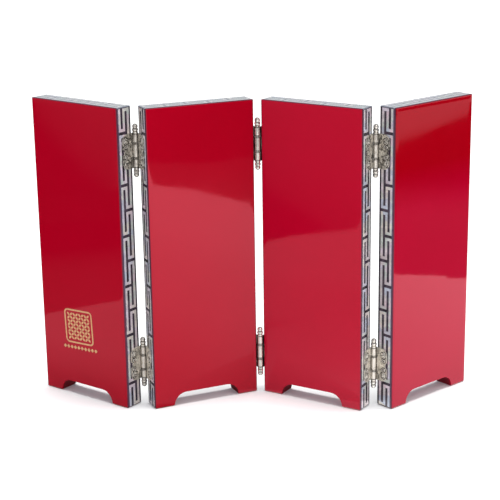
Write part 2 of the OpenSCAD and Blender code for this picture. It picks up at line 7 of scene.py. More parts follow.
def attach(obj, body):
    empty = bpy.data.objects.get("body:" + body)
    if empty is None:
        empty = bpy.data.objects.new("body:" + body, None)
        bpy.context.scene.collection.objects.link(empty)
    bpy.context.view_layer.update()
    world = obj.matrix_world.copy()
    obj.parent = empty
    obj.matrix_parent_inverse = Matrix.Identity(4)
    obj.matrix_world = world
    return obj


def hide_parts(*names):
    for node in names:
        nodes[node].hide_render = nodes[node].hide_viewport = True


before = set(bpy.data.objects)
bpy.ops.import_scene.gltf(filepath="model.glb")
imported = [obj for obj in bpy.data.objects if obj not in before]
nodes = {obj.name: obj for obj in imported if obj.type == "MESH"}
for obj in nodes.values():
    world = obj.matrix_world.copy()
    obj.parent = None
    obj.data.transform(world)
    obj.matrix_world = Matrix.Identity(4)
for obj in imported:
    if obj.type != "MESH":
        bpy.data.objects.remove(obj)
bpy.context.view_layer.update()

# Folding screen seen from its red backs. Metres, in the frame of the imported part.
degree = math.radians(1)
mm = 0.001


# Small helpers

def deselectAll():
    if bpy.context.object and bpy.context.object.mode != "OBJECT":
        bpy.ops.object.mode_set(mode="OBJECT")
    bpy.ops.object.select_all(action="DESELECT")


def makeActive(piece):
    deselectAll()
    piece.select_set(True)
    bpy.context.view_layer.objects.active = piece


def addNode(tree, kind, inputs=None, **settings):
    node = tree.nodes.new(kind)
    for name, value in settings.items():
        setattr(node, name, value)
    for key, value in (inputs or {}).items():
        if isinstance(value, bpy.types.NodeSocket):
            tree.links.new(value, node.inputs[key])
        else:
            node.inputs[key].default_value = value
    return node


def objectCoordinates(tree):
    return addNode(tree, "ShaderNodeTexCoord").outputs["Object"]


def separate(tree, vector):
    return addNode(tree, "ShaderNodeSeparateXYZ", {"Vector": vector}).outputs


def noise(tree, vector, scale, detail=2.0, roughness=0.5, distortion=0.0):
    return addNode(tree, "ShaderNodeTexNoise", {
        "Vector": vector, "Scale": scale, "Detail": detail, "Roughness": roughness, "Distortion": distortion,
    }).outputs["Fac"]


def ramp(tree, factor, stops):
    node = addNode(tree, "ShaderNodeValToRGB", {"Fac": factor})
    elements = node.color_ramp.elements
    while len(elements) < len(stops):
        elements.new(1.0)
    for element, (position, colour) in zip(elements, stops):
        element.position = position
        element.color = (*colour, 1.0)
    return node.outputs["Color"]


def levels(tree, value, low, high, toLow=0.0, toHigh=1.0):
    return addNode(tree, "ShaderNodeMapRange", {
        "Value": value, "From Min": low, "From Max": high, "To Min": toLow, "To Max": toHigh,
    }).outputs["Result"]


def maths(tree, operation, *values):
    return addNode(tree, "ShaderNodeMath", dict(enumerate(values)), operation=operation).outputs["Value"]


def mixColours(tree, factor, first, second, blend="MIX"):
    first, second = ((*colour, 1.0) if isinstance(colour, tuple) else colour for colour in (first, second))
    inputs = {0: factor, 6: first, 7: second}
    return addNode(tree, "ShaderNodeMix", inputs, data_type="RGBA", blend_type=blend).outputs[2]


def grey(tree, value):
    shares = {"Red": value, "Green": value, "Blue": value}
    return addNode(tree, "ShaderNodeCombineColor", shares).outputs["Color"]


def bump(tree, height, distance, strength=1.0, normal=None):
    inputs = {"Height": height, "Strength": strength, "Distance": distance}
    if normal is not None:
        inputs["Normal"] = normal
    return addNode(tree, "ShaderNodeBump", inputs).outputs["Normal"]


def newMaterial(name, baseColour, roughness, metallic=0.0):
    material = bpy.data.materials.new(name)
    material.use_nodes = True
    tree = material.node_tree
    shader = tree.nodes["Principled BSDF"]
    shader.inputs["Base Color"].default_value = (*baseColour, 1.0)
    shader.inputs["Roughness"].default_value = roughness
    shader.inputs["Metallic"].default_value = metallic
    return material, tree, shader


def connect(tree, output, shader, name):
    tree.links.new(output, shader.inputs[name])


# Each panel's lower left corner on its red face and its turn, in mm and degrees
panelPlaces = {
    1: (-150.353, 17.9993, -35.2),
    2: (-68.3172, -27.9576, 25.8),
    3: (5.94131, 5.38721, -29.7),
    4: (94.3285, -30.1991, 43.3),
}
panelWidth, panelThick, panelHeight = 77 * mm, 14 * mm, 210 * mm


def panelCoordinates(tree, panel):
    # Object coordinates turned into the panel's own: along it, through it and up
    x, y, turn = panelPlaces[panel]
    return addNode(tree, "ShaderNodeMapping", {
        "Vector": objectCoordinates(tree), "Location": (x * mm, y * mm, 0), "Rotation": (0, 0, turn * degree),
    }, vector_type="TEXTURE").outputs["Vector"]


# Red lacquer of the backs

redLacquer = {
    "deep": (0.425, 0.0003, 0.0117),
    "light": (0.448, 0.0005, 0.0139),
    "panelTone": {1: 0.93, 2: 0.93, 3: 1.08, 4: 1.05},
    "panelBlue": {1: 1.1, 2: 1.0, 3: 1.4, 4: 1.8},
    "cloudScale": 14.0,
    "cloudRange": (0.3, 0.7),
    "refraction": 1.72,
    "sheenTint": (1.0, 0.30, 0.385),
    "roughness": (0.03, 0.07),
    "hazeScale": 60.0,
    "hazeRange": (0.35, 0.75),
    "waveScale": 22.0,
    "waveHeight": 0.06 * mm,
    "peelScale": 420.0,
    "peelHeight": 0.002 * mm,
    "edgeFall": 4.2 * mm,
    "edgeCurve": 2.5,
    "edgeDrop": 0.13 * mm,
    "line": (0.034, 0.020, 0.038),
    "lineWidth": 0.35 * mm,
    "lineCover": 0.85,
    "liningDepth": (0.9 * mm, 1.5 * mm),
    "liningTone": 0.45,
    "liningRoughness": 0.55,
    "thickPanel": 4,
    "thickFrom": (140 * mm, 168 * mm),
    "thickTint": (0.80, 0.6, 0.25),
    "rollWidth": 5.4 * mm,
    "rollDrop": 0.30 * mm,
}


def toNearestSide(tree, along, width):
    return maths(tree, "MINIMUM", along, maths(tree, "SUBTRACT", width, along))


def edgeFall(tree, along, width):
    # 0 on the flat of a face, growing to 1 at its nearest edge
    near = levels(tree, toNearestSide(tree, along, width), 0.0, redLacquer["edgeFall"], 1.0, 0.0)
    return maths(tree, "POWER", near, redLacquer["edgeCurve"])


def makeRedLacquer(panel):
    look = redLacquer
    # Painted light: each panel's red is scaled by how much light falls on it, and its blue raised by the
    # bluish sheen it mirrors
    tone = look["panelTone"][panel]
    shares = (tone, tone, tone * look["panelBlue"][panel])
    deep = tuple(value * share for value, share in zip(look["deep"], shares))
    light = tuple(value * share for value, share in zip(look["light"], shares))
    material, tree, shader = newMaterial("redLacquer" + str(panel), deep, look["roughness"][0])
    shader.inputs["IOR"].default_value = look["refraction"]
    shader.inputs["Specular Tint"].default_value = (*look["sheenTint"], 1.0)
    place = objectCoordinates(tree)
    own = separate(tree, panelCoordinates(tree, panel))
    cloud = levels(tree, noise(tree, place, look["cloudScale"], detail=3.0), *look["cloudRange"])
    face = mixColours(tree, cloud, deep, light)
    if panel == look["thickPanel"]:
        # Painted shade: this panel's red is deeper and less blue towards its top, where it mirrors less light
        # than lower down
        shadedTop = levels(tree, own["Z"], *look["thickFrom"])
        face = mixColours(tree, shadedTop, face, mixColours(tree, 1.0, face, look["thickTint"], "MULTIPLY"))
    # A dark purple line where the red coat meets the edges
    toTop = maths(tree, "SUBTRACT", panelHeight, own["Z"])
    nearest = maths(tree, "MINIMUM", toNearestSide(tree, own["X"], panelWidth), toTop)
    line = levels(tree, nearest, look["lineWidth"], 2 * look["lineWidth"], look["lineCover"], 0.0)
    face = mixColours(tree, line, face, look["line"])
    # The lining of the foot arch is duller, and its red is darkened as painted shade under the arch
    lining = levels(tree, own["Y"], *look["liningDepth"])
    shadedLiningColour = tuple(value * look["liningTone"] for value in deep)
    connect(tree, mixColours(tree, lining, face, shadedLiningColour), shader, "Base Color")
    haze = noise(tree, place, look["hazeScale"], detail=6.0, roughness=0.65)
    haze = levels(tree, haze, *look["hazeRange"], *look["roughness"])
    dull = maths(tree, "MULTIPLY", lining, look["liningRoughness"])
    connect(tree, maths(tree, "MAXIMUM", haze, dull), shader, "Roughness")
    waves = bump(tree, noise(tree, place, look["waveScale"], detail=1.0), look["waveHeight"])
    peel = bump(tree, noise(tree, place, look["peelScale"], detail=1.0), look["peelHeight"], normal=waves)
    # The thick coat draws back a little towards the panel's edges
    sides = edgeFall(tree, own["X"], panelWidth)
    ends = edgeFall(tree, own["Z"], panelHeight)
    height = maths(tree, "SUBTRACT", 1.0, maths(tree, "MAXIMUM", sides, ends))
    relief = bump(tree, height, look["edgeDrop"], normal=peel)
    if panel == look["thickPanel"]:
        # It also rolls off evenly along the top
        roll = levels(tree, own["Z"], panelHeight - look["rollWidth"], panelHeight, 1.0, 0.0)
        relief = bump(tree, roll, look["rollDrop"], normal=relief)
    connect(tree, relief, shader, "Normal")
    return material


# Dark lacquer of the edges, with a cloudy paler violet band beside the red face: a painted highlight

edgeLacquer = {
    "dark": (0.024, 0.018, 0.025),
    "violet": (0.062, 0.043, 0.066),
    "cloudScale": 160.0,
    "cloudRange": (0.35, 0.65),
    "roughness": 0.12,
    "rim": (0.075, 0.060, 0.100),
    "rimWidth": {1: 2.3 * mm, 2: 1.8 * mm, 3: 1.7 * mm, 4: 2.2 * mm},
    "rimFade": (-0.2 * mm, 0.5 * mm),
    "rimWander": 0.5 * mm,
    "topTint": (0.25, 0.28, 0.33),
    "topCover": 0.62,
    "topDepth": (0.8 * mm, 0.4 * mm),
}


def edgeCloud(tree):
    cloud = noise(tree, objectCoordinates(tree), edgeLacquer["cloudScale"], detail=3.0)
    return levels(tree, cloud, *edgeLacquer["cloudRange"])


def edgeRim(tree, panel):
    # 1 beside the red face, fading out raggedly through the edge
    look = edgeLacquer
    through = separate(tree, panelCoordinates(tree, panel))["Y"]
    ragged = maths(tree, "ADD", through, maths(tree, "MULTIPLY", edgeCloud(tree), look["rimWander"]))
    fadeFrom, fadeTo = (look["rimWidth"][panel] + fade for fade in look["rimFade"])
    return levels(tree, ragged, fadeFrom, fadeTo, 1.0, 0.0)


def topSheen(tree, colour, tint, cover):
    # Painted sheen: the panels' tops are drawn towards a grey blue, evening out their pattern as the sheen
    # mirrored there would
    low, high = (panelHeight - depth for depth in edgeLacquer["topDepth"])
    top = levels(tree, separate(tree, objectCoordinates(tree))["Z"], low, high)
    return mixColours(tree, maths(tree, "MULTIPLY", top, cover), colour, tint)


def makeEdgeLacquer(panel):
    look = edgeLacquer
    material, tree, shader = newMaterial("edgeLacquer" + str(panel), look["dark"], look["roughness"])
    ground = mixColours(tree, edgeCloud(tree), look["dark"], look["violet"])
    # Painted highlight: a paler violet band beside the red face
    sides = mixColours(tree, edgeRim(tree, panel), ground, look["rim"])
    # Painted sheen on the panels' tops
    connect(tree, topSheen(tree, sides, look["topTint"], look["topCover"]), shader, "Base Color")
    return material


# Blue-black lacquer of the fronts' ground

blackLacquer = {
    "deep": (0.006, 0.007, 0.014),
    "light": (0.016, 0.018, 0.034),
    "cloudScale": 90.0,
    "cloudRange": (0.35, 0.65),
    "roughness": (0.06, 0.14),
    "peelScale": 420.0,
    "peelHeight": 0.002 * mm,
}


def makeBlackLacquer():
    look = blackLacquer
    material, tree, shader = newMaterial("blackLacquer", look["deep"], look["roughness"][0])
    place = objectCoordinates(tree)
    cloud = levels(tree, noise(tree, place, look["cloudScale"], detail=4.0), *look["cloudRange"])
    connect(tree, mixColours(tree, cloud, look["deep"], look["light"]), shader, "Base Color")
    connect(tree, levels(tree, cloud, 0.0, 1.0, *look["roughness"]), shader, "Roughness")
    peel = bump(tree, noise(tree, place, look["peelScale"], detail=1.0), look["peelHeight"])
    connect(tree, peel, shader, "Normal")
    return material


# Shell of the inlay: patches cut from different sheets, each with growth lines

shellLooks = {
    "edge": {
        "tints": [(0.0, (0.76, 0.67, 0.80)), (0.22, (0.86, 0.68, 0.75)), (0.42, (0.70, 0.76, 0.72)),
                  (0.6, (0.89, 0.80, 0.73)), (0.8, (0.82, 0.71, 0.79)), (1.0, (0.65, 0.69, 0.80))],
        "patchScale": 125.0,
        "lineScale": 70.0,
        "lineDepth": 0.26,
        "roughness": (0.34, 0.16),
        "rimCover": 0.55,
        "rimTint": (0.16, 0.12, 0.26),
        "topCover": 0.6,
        "topTint": (0.33, 0.385, 0.42),
    },
    "front": {
        "tints": [(0.0, (0.45, 0.52, 0.62)), (0.25, (0.62, 0.50, 0.62)), (0.45, (0.40, 0.62, 0.58)),
                  (0.65, (0.66, 0.64, 0.52)), (0.85, (0.62, 0.44, 0.50)), (1.0, (0.36, 0.50, 0.70))],
        "patchScale": 95.0,
        "lineScale": 50.0,
        "lineDepth": 0.35,
        "roughness": (0.3, 0.12),
        "film": 480.0,
    },
}
shellGrain = {
    "patchShift": (0.004, 0.004, 0.004),
    "warpScale": 0.5,
    "driftRange": (0.3, 1.5),
    "waviness": 9.0,
    "waveDetail": 3.0,
    "waveDetailScale": 1.4,
    "lineRelief": 0.4,
    "lineHeight": 0.01 * mm,
    "metal": 0.25,
    "filmRefraction": 1.6,
}


def makeShell(name, panel=None):
    look, grain = shellLooks[name], shellGrain
    material, tree, shader = newMaterial(name + "Shell" + str(panel or ""), look["tints"][0][1],
                                         look["roughness"][0], grain["metal"])
    place = objectCoordinates(tree)
    moved = addNode(tree, "ShaderNodeVectorMath", {0: place, 1: grain["patchShift"]},
                    operation="ADD").outputs["Vector"]
    patches = addNode(tree, "ShaderNodeTexVoronoi", {"Vector": moved, "Scale": look["patchScale"]})
    hue = addNode(tree, "ShaderNodeSeparateColor", {"Color": patches.outputs["Color"]}).outputs["Red"]
    warp = noise(tree, place, look["patchScale"] * grain["warpScale"], detail=3.0)
    drift = levels(tree, maths(tree, "ADD", hue, warp), *grain["driftRange"])
    lines = addNode(tree, "ShaderNodeTexWave", {
        "Vector": place, "Scale": look["lineScale"], "Distortion": grain["waviness"],
        "Detail": grain["waveDetail"], "Detail Scale": grain["waveDetailScale"],
    }, wave_type="BANDS", bands_direction="DIAGONAL").outputs["Fac"]
    shade = grey(tree, levels(tree, lines, 0.0, 1.0, 1.0 - look["lineDepth"], 1.0))
    colour = mixColours(tree, 1.0, ramp(tree, drift, look["tints"]), shade, "MULTIPLY")
    if panel:
        rim = maths(tree, "MULTIPLY", edgeRim(tree, panel), look["rimCover"])
        colour = mixColours(tree, rim, colour, look["rimTint"])
        # Painted sheen on the panels' tops
        colour = topSheen(tree, colour, look["topTint"], look["topCover"])
    connect(tree, colour, shader, "Base Color")
    connect(tree, levels(tree, lines, 0.0, 1.0, *look["roughness"]), shader, "Roughness")
    connect(tree, bump(tree, lines, grain["lineHeight"], grain["lineRelief"]), shader, "Normal")
    if "film" in look:
        shader.inputs["Thin Film Thickness"].default_value = look["film"]
        shader.inputs["Thin Film IOR"].default_value = grain["filmRefraction"]
    return material


# Aged nickel of the leaves and screws

agedNickel = {
    "bright": (0.80, 0.75, 0.66),
    "dull": (0.50, 0.45, 0.38),
    "tarnish": (0.10, 0.088, 0.075),
    "stainScale": 260.0,
    "stainRange": (0.42, 0.72),
    "tarnishScale": 620.0,
    "tarnishRange": (0.5, 0.64),
    "tarnishFrom": (60 * mm, 150 * mm),
    "tarnishShift": (-0.07, 0.04),
    "metal": 0.6,
    "roughness": (0.24, 0.42),
    "pitScale": 1500.0,
    "pitRelief": 0.5,
    "pitHeight": 0.02 * mm,
}


def tarnishShift(tree, place):
    # Painted shade: the tarnish spreads further on the upper hinges and less on the lower ones, which the
    # floor lights more
    height = separate(tree, place)["Z"]
    return levels(tree, height, *agedNickel["tarnishFrom"], *agedNickel["tarnishShift"])


def makeAgedNickel():
    look = agedNickel
    material, tree, shader = newMaterial("agedNickel", look["bright"], look["roughness"][0], look["metal"])
    place = objectCoordinates(tree)
    stain = noise(tree, place, look["stainScale"], detail=5.0, roughness=0.6)
    stain = levels(tree, stain, *look["stainRange"])
    clean = mixColours(tree, stain, look["bright"], look["dull"])
    spots = noise(tree, place, look["tarnishScale"], detail=4.0, roughness=0.6)
    tarnish = levels(tree, maths(tree, "ADD", spots, tarnishShift(tree, place)), *look["tarnishRange"])
    connect(tree, mixColours(tree, tarnish, clean, look["tarnish"]), shader, "Base Color")
    connect(tree, levels(tree, stain, 0.0, 1.0, *look["roughness"]), shader, "Roughness")
    pits = bump(tree, noise(tree, place, look["pitScale"], detail=3.0), look["pitHeight"], look["pitRelief"])
    connect(tree, pits, shader, "Normal")
    return material


# Barrels, pins and scrolls are rubbed brighter than the leaves, and the turned tips most

rubbedNickel = {
    "barrel": {"bright": (0.80, 0.745, 0.68), "dull": (0.40, 0.365, 0.32), "sides": (0.42, 0.40, 0.37),
               "roughness": (0.2, 0.4), "metal": 0.72},
    "tip": {"bright": (0.88, 0.83, 0.76), "dull": (0.38, 0.35, 0.30), "sides": (0.08, 0.07, 0.06),
            "roughness": (0.14, 0.3), "metal": 0.95},
    "stainScale": 420.0,
    "stainRange": (0.5, 0.7),
}


def makeRubbedNickel(name):
    look, stains = rubbedNickel[name], rubbedNickel
    material, tree, shader = newMaterial(name + "Nickel", look["bright"], look["roughness"][0], look["metal"])
    shader.inputs["Specular Tint"].default_value = (*look["sides"], 1.0)
    place = objectCoordinates(tree)
    spots = noise(tree, place, stains["stainScale"], detail=5.0, roughness=0.6)
    # Painted shade: shifted by height, the stains dull the upper hinges more
    stain = levels(tree, maths(tree, "ADD", spots, tarnishShift(tree, place)), *stains["stainRange"])
    connect(tree, mixColours(tree, stain, look["bright"], look["dull"]), shader, "Base Color")
    connect(tree, levels(tree, stain, 0.0, 1.0, *look["roughness"]), shader, "Roughness")
    return material


# Dark tarnish that gathers in the hinges' hollows, and the same dark used as painted shade in the gaps beside
# the barrels, under the scroll wires and ribs and round the screw heads

patina = {
    "dark": (0.014, 0.012, 0.010),
    "brown": (0.045, 0.036, 0.027),
    "spotScale": 500.0,
    "spotRange": (0.4, 0.65),
    "roughness": 0.6,
    "metal": 0.6,
}


def makePatinaAndShade():
    look = patina
    material, tree, shader = newMaterial("patina", look["dark"], look["roughness"], look["metal"])
    spots = noise(tree, objectCoordinates(tree), look["spotScale"], detail=4.0)
    spots = levels(tree, spots, *look["spotRange"])
    connect(tree, mixColours(tree, spots, look["dark"], look["brown"]), shader, "Base Color")
    return material


# Thin gilding of the mark

gilding = {
    "gold": (0.76, 0.47, 0.225),
    "worn": (0.50, 0.16, 0.09),
    "wearScale": 900.0,
    "wearRange": (0.55, 0.7),
    "roughness": 0.42,
    "metal": 0.35,
}


def makeGilding():
    look = gilding
    material, tree, shader = newMaterial("gilding", look["gold"], look["roughness"], look["metal"])
    wear = noise(tree, objectCoordinates(tree), look["wearScale"], detail=4.0, roughness=0.7)
    wear = levels(tree, wear, *look["wearRange"])
    connect(tree, mixColours(tree, wear, look["gold"], look["worn"]), shader, "Base Color")
    return material


# Planed board under the coats, bare at the soles

boardWood = {
    "light": (0.36, 0.22, 0.12),
    "dark": (0.22, 0.12, 0.06),
    "grainStretch": (1.0, 1.0, 0.08),
    "grainScale": 160.0,
    "grainRange": (0.35, 0.7),
    "grainRelief": 0.4,
    "grainHeight": 0.05 * mm,
    "roughness": 0.7,
}


def makeBoardWood():
    look = boardWood
    material, tree, shader = newMaterial("boardWood", look["light"], look["roughness"])
    stretched = addNode(tree, "ShaderNodeMapping", {
        "Vector": objectCoordinates(tree), "Scale": look["grainStretch"]}).outputs["Vector"]
    grain = noise(tree, stretched, look["grainScale"], detail=6.0, roughness=0.65, distortion=0.6)
    colour = mixColours(tree, levels(tree, grain, *look["grainRange"]), look["light"], look["dark"])
    connect(tree, colour, shader, "Base Color")
    connect(tree, bump(tree, grain, look["grainHeight"], look["grainRelief"]), shader, "Normal")
    return material


materials = {
    "black": makeBlackLacquer(),
    "frontShell": makeShell("front"),
    "nickel": makeAgedNickel(),
    "rubbed": makeRubbedNickel("barrel"),
    "tip": makeRubbedNickel("tip"),
    "patina": makePatinaAndShade(),
    "gilding": makeGilding(),
    "wood": makeBoardWood(),
}
panelFinishes = {
    "red": makeRedLacquer,
    "edge": makeEdgeLacquer,
    "edgeShell": lambda panel: makeShell("edge", panel),
}
for finish, maker in panelFinishes.items():
    for panel in panelPlaces:
        materials[finish + str(panel)] = maker(panel)
print("materials made")


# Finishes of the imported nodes, by the ends of their names

nodeFinishes = {
    "_board": "wood",
    "_back_lacquer": "red",
    "_front_lacquer": "black",
    "_edge_lacquer": "edge",
    "_edge_fret": "edgeShell",
    "_front_border": "frontShell",
    "_front_picture": "frontShell",
    "_screws": "nickel",
    "_leaf": "nickel",
    "_pin": "rubbed",
    "_tips": "tip",
    "gilt_mark": "gilding",
}

for nodeName, node in nodes.items():
    finish = next(nodeFinishes[end] for end in nodeFinishes if nodeName.endswith(end))
    if finish in panelFinishes:
        finish += nodeName.split("_")[1]
    for slot in node.material_slots:
        slot.material = materials[finish]
print("finishes given to", len(nodes), "nodes")


# Hinges. A leaf's own frame has its origin on the barrel's axis, the panel's end face at
# x = -axisGap and z up. Sizes that several pieces share are here.

hinge = {
    "axisGap": 2.0 * mm,
    "axisProud": 1.5 * mm,
    "inset": 30.4 * mm,
    "leafHeight": 23.6 * mm,
    "leafWidth": 9.4 * mm,
    "leafThick": 0.8 * mm,
    "leafEdge": -1.72 * mm,
    "sunk": 0.12 * mm,
    "barrelRadius": 1.8 * mm,
    "middleKnuckle": 10.0 * mm,
    "knuckleGap": 0.3 * mm,
    "screwPitch": 14.6 * mm,
    "screwInset": 5.6 * mm,
    "screwRadius": 1.7 * mm,
    "turnedSides": 24,
    "weld": 0.002 * mm,
    "softenAngle": 40 * degree,
    "smoothAngle": 38 * degree,
}
hinge["screwY"] = -hinge["axisProud"] - hinge["screwInset"]
hinge["farY"] = -hinge["axisProud"] - hinge["leafWidth"]
hinge["faceX"] = -hinge["axisGap"] + hinge["leafThick"]
hinge["floorX"] = hinge["faceX"] - hinge["sunk"]
models = {}


def onArc(centre, radius, angle):
    return (centre[0] + radius * math.cos(angle * degree), centre[1] + radius * math.sin(angle * degree))


def arcPoints(centre, radius, fromAngle, toAngle, count):
    step = (toAngle - fromAngle) / (count - 1)
    return [onArc(centre, radius, fromAngle + step * i) for i in range(count)]


def flatShape(name, corners):
    bpy.ops.mesh.primitive_circle_add(vertices=len(corners), fill_type="NGON", location=(0, 0, 0))
    piece = bpy.context.object
    piece.name = name
    for vertex, corner in zip(piece.data.vertices, corners):
        vertex.co = corner
    return piece


def makeBlock(name, size, place, material):
    bpy.ops.mesh.primitive_cube_add(size=1, location=place)
    block = bpy.context.object
    block.name = name
    block.scale = size
    bpy.ops.object.transform_apply(location=True, rotation=True, scale=True)
    block.data.materials.append(materials[material])
    return block


def extrudeAll(way):
    bpy.ops.object.mode_set(mode="EDIT")
    bpy.ops.mesh.select_all(action="SELECT")
    bpy.ops.mesh.extrude_region_move(TRANSFORM_OT_translate={"value": way})


def selectFaces(piece, test):
    bpy.ops.object.mode_set(mode="OBJECT")
    for face in piece.data.polygons:
        face.select = test(face)
    for edge in piece.data.edges:
        edge.select = False
    for vertex in piece.data.vertices:
        vertex.select = False
    for face in piece.data.polygons:
        if face.select:
            for index in face.vertices:
                piece.data.vertices[index].select = True
    bpy.ops.object.mode_set(mode="EDIT")
    bpy.ops.mesh.select_mode(type="FACE")


def outwards(piece):
    makeActive(piece)
    bpy.ops.object.mode_set(mode="EDIT")
    bpy.ops.mesh.select_all(action="SELECT")
    bpy.ops.mesh.remove_doubles(threshold=hinge["weld"])
    bpy.ops.mesh.normals_make_consistent(inside=False)
    bpy.ops.object.mode_set(mode="OBJECT")


def softenEdges(piece, width, segments=2):
    makeActive(piece)
    modifier = piece.modifiers.new("softEdges", "BEVEL")
    modifier.width, modifier.segments = width, segments
    modifier.limit_method, modifier.angle_limit = "ANGLE", hinge["softenAngle"]
    bpy.ops.object.modifier_apply(modifier=modifier.name)


def smoothSurface(piece):
    makeActive(piece)
    bpy.ops.object.shade_smooth_by_angle(angle=hinge["smoothAngle"])


def joinPieces(pieces, name):
    deselectAll()
    for piece in pieces:
        piece.select_set(True)
    bpy.context.view_layer.objects.active = pieces[0]
    bpy.ops.object.join()
    pieces[0].name = name
    return pieces[0]


def placedCopy(model, name, matrix):
    copy = bpy.data.objects.new(name, model.data.copy())
    bpy.context.scene.collection.objects.link(copy)
    copy.data.transform(matrix)
    if matrix.determinant() < 0:
        copy.data.flip_normals()
    return copy


def turned(name, profile, material, sides=hinge["turnedSides"]):
    # Raised from its first ring by extruding and resizing the top face, along z
    radius, height = profile[0]
    start = (0, 0, height)
    bpy.ops.mesh.primitive_circle_add(vertices=sides, radius=radius, fill_type="NGON", location=start)
    piece = bpy.context.object
    piece.name = name
    bpy.ops.object.transform_apply(location=True, rotation=False, scale=False)
    bpy.ops.object.mode_set(mode="EDIT")
    bpy.ops.mesh.select_all(action="SELECT")
    for nextRadius, nextHeight in profile[1:]:
        rise = (0, 0, nextHeight - height)
        bpy.ops.mesh.extrude_region_move(TRANSFORM_OT_translate={"value": rise})
        factor = nextRadius / radius
        bpy.ops.transform.resize(value=(factor, factor, 1))
        radius, height = nextRadius, nextHeight
    outwards(piece)
    piece.data.materials.append(materials[material])
    return piece


def darkenGrooves(piece, radius, low=-math.inf, high=math.inf):
    # Side faces of a turned piece that lie nearer to its axis than this radius take the patina
    piece.data.materials.append(materials["patina"])
    for face in piece.data.polygons:
        corners = [piece.data.vertices[i].co for i in face.vertices]
        fromAxis = sum(math.hypot(corner.x, corner.y) for corner in corners) / len(corners)
        if len(corners) == 4 and low < face.center.z < high and fromAxis < radius:
            face.material_index = 1


# Plate of a leaf: two round lobes with a waist between, a raised rim and a sunk field

leafShape = {
    "waist": 1.56 * mm,
    "waistRadius": 2.4 * mm,
    "arcCorners": 9,
    "rim": 0.5 * mm,
    "rimSlope": 0.12 * mm,
    "softness": 0.09 * mm,
}


def leafOutline():
    size, shape = hinge, leafShape
    half, screwZ, corners = size["leafHeight"] / 2, size["screwPitch"] / 2, shape["arcCorners"]
    lobe = half - screwZ
    reach = math.degrees(math.acos((shape["waistRadius"] - shape["waist"]) / shape["waistRadius"]))
    waistCentre = (size["farY"] + shape["waist"] - shape["waistRadius"], 0)
    points = [(size["leafEdge"], -half)]
    points += arcPoints((size["farY"] + lobe, -screwZ), lobe, 270, 180, corners)
    points += arcPoints(waistCentre, shape["waistRadius"], -reach, reach, corners)
    points += arcPoints((size["farY"] + lobe, screwZ), lobe, 180, 90, corners)
    points += [(size["leafEdge"], half)]
    return points


def leafPlate():
    plate = flatShape("plate", [(-hinge["axisGap"], y, z) for y, z in leafOutline()])
    extrudeAll((hinge["leafThick"], 0, 0))
    justBelow = hinge["faceX"] - 0.01 * mm
    selectFaces(plate, lambda face: min(plate.data.vertices[i].co.x for i in face.vertices) > justBelow)
    bpy.ops.mesh.inset(thickness=leafShape["rim"])
    bpy.ops.mesh.inset(thickness=leafShape["rimSlope"])
    bpy.ops.transform.translate(value=(-hinge["sunk"], 0, 0))
    outwards(plate)
    plate.data.materials.append(materials["nickel"])
    softenEdges(plate, leafShape["softness"])
    return plate


# Knuckle with a groove near each end, and the strap that ties it to the leaf, dark as painted shade of the
# gap beside the barrel

knuckleShape = {
    # From an end inwards, as (depth below the barrel's radius, distance from the end)
    "end": [(0.15 * mm, 0.0), (0.0, 0.12 * mm), (0.0, 0.35 * mm), (0.12 * mm, 0.47 * mm),
            (0.12 * mm, 0.60 * mm), (0.0, 0.75 * mm)],
    "darkBelow": 0.04 * mm,
    "strapOverlap": 1.0 * mm,
    "strapThinner": 0.1 * mm,
    "strapSoftness": 0.12 * mm,
}


def knuckle(low, high):
    size, shape = hinge, knuckleShape
    radius, overlap = size["barrelRadius"], shape["strapOverlap"]
    profile = [(radius - depth, low + inwards) for depth, inwards in shape["end"]]
    profile += [(radius - depth, high - inwards) for depth, inwards in reversed(shape["end"])]
    barrel = turned("barrel", profile, "rubbed")
    darkenGrooves(barrel, radius - shape["darkBelow"])
    strapSize = (size["leafThick"] - shape["strapThinner"], overlap - size["leafEdge"], high - low)
    middle = (size["faceX"] - size["leafThick"] / 2, (size["leafEdge"] - overlap) / 2, (low + high) / 2)
    # Painted shade: the strap is dark to shade the gap beside the barrel
    strap = makeBlock("strap", strapSize, middle, "patina")
    softenEdges(strap, shape["strapSoftness"])
    return [barrel, strap]


# Hollow edge of a leaf that follows the other leaf's knuckles, dark as painted shade of the gap round them

lipShape = {
    "clearance": 0.18 * mm,
    "overlap": 0.2 * mm,
    "below": 0.06 * mm,
    "foot": 0.05 * mm,
    "angles": (231, 222, 213, 204, 196, 189, 184),
}


def lip(low, high):
    size, shape = hinge, lipShape
    back, under = -size["axisGap"], size["leafEdge"] - shape["overlap"]
    outline = [(back, under), (size["faceX"] - shape["below"], under)]
    outline += [onArc((0, 0), size["barrelRadius"] + shape["clearance"], angle) for angle in shape["angles"]]
    outline += [(back, -shape["foot"])]
    strip = flatShape("lip", [(x, y, low) for x, y in outline])
    extrudeAll((0, 0, high - low))
    outwards(strip)
    # Painted shade: the lip is dark to shade the gap round the knuckles
    strip.data.materials.append(materials["patina"])
    return strip


# S-shaped scroll of round wire on a strip of painted shadow: round the screw's far side, then back on itself
# over the middle of the leaf, ending in a small curl

scrollShape = {
    "ringRadius": 2.45 * mm,
    "ringFrom": 250,
    "ringTo": 105,
    "curlRadius": 1.35 * mm,
    "curlTurn": 235,
    "eyeRadius": 0.7 * mm,
    "eyeTurn": 200,
    "stepAngle": 15,
    "sectionCorners": 8,
    "wire": {"halfWidth": 0.34 * mm, "halfDepth": 0.34 * mm, "lift": 0.1 * mm, "finish": "rubbed"},
    # Painted shadow: a dark strip under the wire, wider than it
    "bed": {"halfWidth": 0.85 * mm, "halfDepth": 0.03 * mm, "lift": 0.02 * mm, "finish": "patina"},
}


